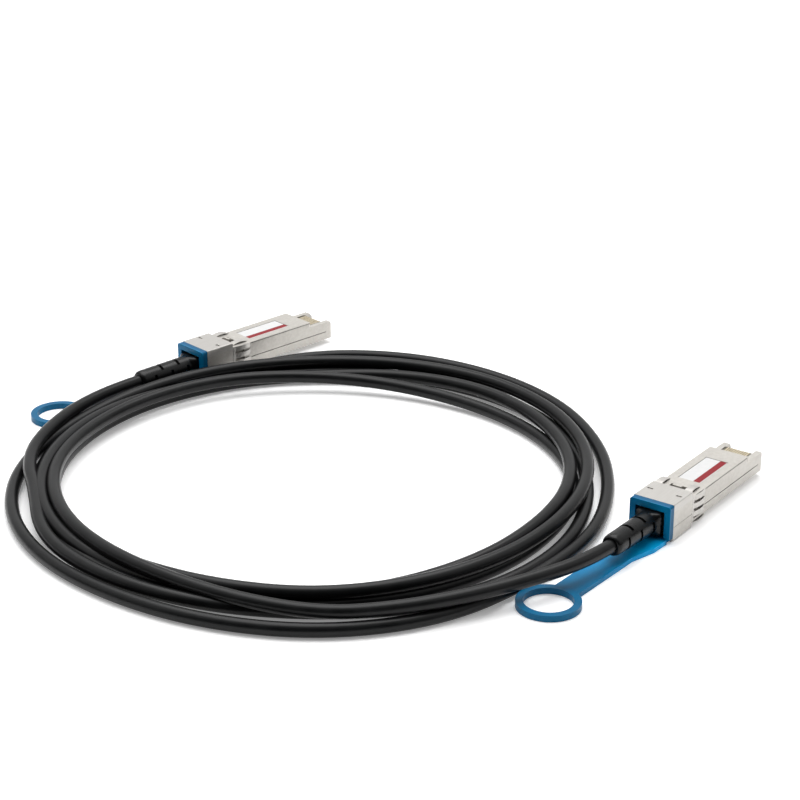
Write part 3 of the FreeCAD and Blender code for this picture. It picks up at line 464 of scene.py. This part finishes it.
# One row a turn: (reach from the middle, height) in mm every STEP_ANGLE, clockwise from the front.
TURNS = (
    ((90.6, 5.7), (83.0, 6.9), (80.9, 6.6), (82.0, 6.3), (80.6, 6.2), (81.0, 6.1),
     (76.4, 5.4), (76.4, 3.4), (79.4, 2.2), (81.9, 2.2), (80.6, 2.2), (82.4, 2.2)),
    ((83.2, 2.2), (85.6, 2.2), (85.6, 2.2), (87.8, 2.2), (90.2, 2.2), (88.5, 2.3),
     (97.0, 6.3), (97.8, 5.9), (96.3, 4.6), (91.5, 2.4), (93.4, 2.4), (99.2, 2.4)),
    ((97.8, 2.2), (93.4, 2.2), (94.5, 2.2), (95.3, 2.2), (90.7, 3.6), (88.8, 6.5),
     (90.0, 5.9), (93.8, 5.9), (90.6, 5.9), (85.9, 6.0), (82.3, 6.0), (82.5, 6.0)),
    ((83.1, 5.9), (79.6, 5.6), (80.2, 2.3), (82.6, 2.2), (84.0, 2.2), (85.6, 2.2),
     (84.6, 2.6), (86.0, 5.3), (82.8, 5.9), (80.7, 6.0), (77.9, 6.0), (78.3, 4.6)),
    ((78.7, 2.2), (81.4, 2.2), (85.2, 4.6), (85.8, 6.0), (84.4, 6.0), (87.4, 2.3),
     (89.3, 2.2), (90.0, 2.2), (88.4, 2.2), (84.6, 2.2), (88.3, 2.2), (90.8, 2.2)),
    ((86.7, 2.3), (89.5, 4.1), (90.2, 4.4)),
)
# Where the near lead has joined the turns, as a place on the table.
JOIN = 0.45
POINTS_A_TURN = 18
# The outer turn gives way to the near finger ring: its place on the table, how far it moves
# inward in mm, and over how many places to either side.
RING_PLACE = 22.62
RING_INWARD = 4.2
RING_SPAN = 0.85


def coil_points():
    """The coil's turns, from where the near lead joins them to where the far lead leaves them."""
    stops = [stop for row in TURNS for stop in row]
    last = len(stops) - 1
    count = int(round((last - JOIN) * STEP_ANGLE * POINTS_A_TURN / 360.0))
    # The spline runs a little inside its points, so they are set out by this factor.
    widen = 1.0 / (0.75 + 0.25 * math.cos(2.0 * math.pi / POINTS_A_TURN))
    points = []
    for i in range(count + 1):
        where = JOIN + (last - JOIN) * i / count
        low = min(int(where), last - 1)
        share = where - low
        reach = stops[low][0] * (1.0 - share) + stops[low + 1][0] * share
        height = stops[low][1] * (1.0 - share) + stops[low + 1][1] * share
        reach -= RING_INWARD * max(0.0, 1.0 - abs(where - RING_PLACE) / RING_SPAN)
        angle = math.radians(FIRST_ANGLE - STEP_ANGLE * where)
        points.append((MIDDLE[0] + reach * widen * math.cos(angle),
                       MIDDLE[1] + reach * widen * math.sin(angle), height))
    return points


def cable():
    """One cord from the near boot, round the coil, to the far boot."""
    route = list(NEAR_ROUTE) + coil_points() + list(reversed(FAR_ROUTE))
    data = bpy.data.curves.new("cable", "CURVE")
    data.dimensions = "3D"
    spline = data.splines.new("NURBS")
    spline.points.add(len(route) - 1)
    for point, (x, y, z) in zip(spline.points, route):
        point.co = (x * MM, y * MM, z * MM, 1.0)
    spline.order_u = 3
    spline.use_endpoint_u = True
    spline.resolution_u = 8
    data.bevel_depth = CABLE_WIDE / 2.0
    data.bevel_resolution = 5
    data.use_fill_caps = True
    piece = bpy.data.objects.new("cable_cord", data)
    bpy.context.scene.collection.objects.link(piece)
    data.materials.append(cable_jacket())
    return piece


cord = cable()
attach(cord, "cable")
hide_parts("near_lead", "cable_coil", "far_lead")


# ---- floor, light and camera ------------------------------------------------------------------

FLOOR_HALF = 3.0
# The camera: its place in metres, its angles in degrees, its picture in pixels and its sensor in
# mm. The heading turns from +X to +Y, and the pitch is downward.
EYE = (-0.51505, -0.2724, 0.2877)
HEADING = 35.705
PITCH = 23.0
PICTURE_SIDE = 800
FOCAL_PIXELS = 2121.2
SENSOR = 36.0
# (name, metres along the camera's heading, to its left and up, side of the lamp, watts)
LAMPS = (
    ("overhead", 0.25, 0.0, 0.9, 0.9, 9.0),
    ("from_left", -0.1, 1.0, 0.9, 1.4, 3.0),
    ("from_right", -0.3, -1.0, 0.8, 1.2, 2.4),
)
# The middle of the object, where the lamps aim.
LIT = Vector((-0.03, 0.1, 0.0))
# Towards the brightest part of the sky.
SKY_BRIGHT = (0.528, 0.379, 0.75)
SKY_STRENGTH = 0.85


def stage():
    """A plain pale floor."""
    mesh = bpy.data.meshes.new("floor")
    corners = [(-1, -1), (1, -1), (1, 1), (-1, 1)]
    mesh.from_pydata([(x * FLOOR_HALF, y * FLOOR_HALF, 0) for x, y in corners], [], [(0, 1, 2, 3)])
    floor = bpy.data.objects.new("floor", mesh)
    bpy.context.scene.collection.objects.link(floor)
    mat, tree, bsdf = new_material("pale_floor")
    tone = noise(tree, place(tree), scale=3.0, detail=2.0)
    tree.links.new(ramp(tree, tone, grey(0.93), grey(0.95)), bsdf.inputs["Base Color"])
    bsdf.inputs["Roughness"].default_value = 0.65
    bsdf.inputs["Specular IOR Level"].default_value = 0.1
    bsdf.inputs["Emission Color"].default_value = grey(1.0)
    bsdf.inputs["Emission Strength"].default_value = 0.22
    mesh.materials.append(mat)


def lamp(name, spot, size, power):
    """A square soft lamp, aimed at the middle of the object."""
    data = bpy.data.lights.new(name, "AREA")
    data.size = size
    data.energy = power
    light = bpy.data.objects.new(name, data)
    light.location = spot
    light.rotation_euler = (LIT - spot).to_track_quat("-Z", "Y").to_euler()
    bpy.context.scene.collection.objects.link(light)


def lamps():
    """The studio's lamps, placed from the camera's heading."""
    heading = math.radians(HEADING)
    ahead = Vector((math.cos(heading), math.sin(heading), 0.0))
    left = Vector((-math.sin(heading), math.cos(heading), 0.0))
    for name, forward, aside, height, size, power in LAMPS:
        lamp(name, LIT + ahead * forward + left * aside + Vector((0, 0, height)), size, power)


def world_light():
    """A studio sky: bright overhead and ahead of the camera, dim behind it."""
    world = bpy.data.worlds.new("studio")
    bpy.context.scene.world = world
    world.use_nodes = True
    tree = world.node_tree
    coord = tree.nodes.new("ShaderNodeTexCoord")
    facing = tree.nodes.new("ShaderNodeVectorMath")
    facing.operation = "DOT_PRODUCT"
    facing.inputs[1].default_value = SKY_BRIGHT
    tree.links.new(coord.outputs["Generated"], facing.inputs[0])
    tone = ramp(tree, facing.outputs["Value"], grey(0.04), grey(1.0), at=(0.12, 0.8))
    tree.links.new(tone, tree.nodes["Background"].inputs["Color"])
    tree.nodes["Background"].inputs["Strength"].default_value = SKY_STRENGTH


def camera():
    """The camera at the photo's angle."""
    data = bpy.data.cameras.new("camera")
    data.sensor_width = SENSOR
    data.lens = FOCAL_PIXELS / PICTURE_SIDE * SENSOR
    data.clip_start = 0.01
    eye = bpy.data.objects.new("camera", data)
    eye.location = EYE
    eye.rotation_euler = (math.radians(90.0 - PITCH), 0.0, math.radians(HEADING - 90.0))
    bpy.context.scene.collection.objects.link(eye)
    bpy.context.scene.camera = eye


stage()
lamps()
world_light()
camera()

scene = bpy.context.scene
scene.view_settings.view_transform = "Standard"
scene.render.resolution_x = PICTURE_SIDE
scene.render.resolution_y = PICTURE_SIDE
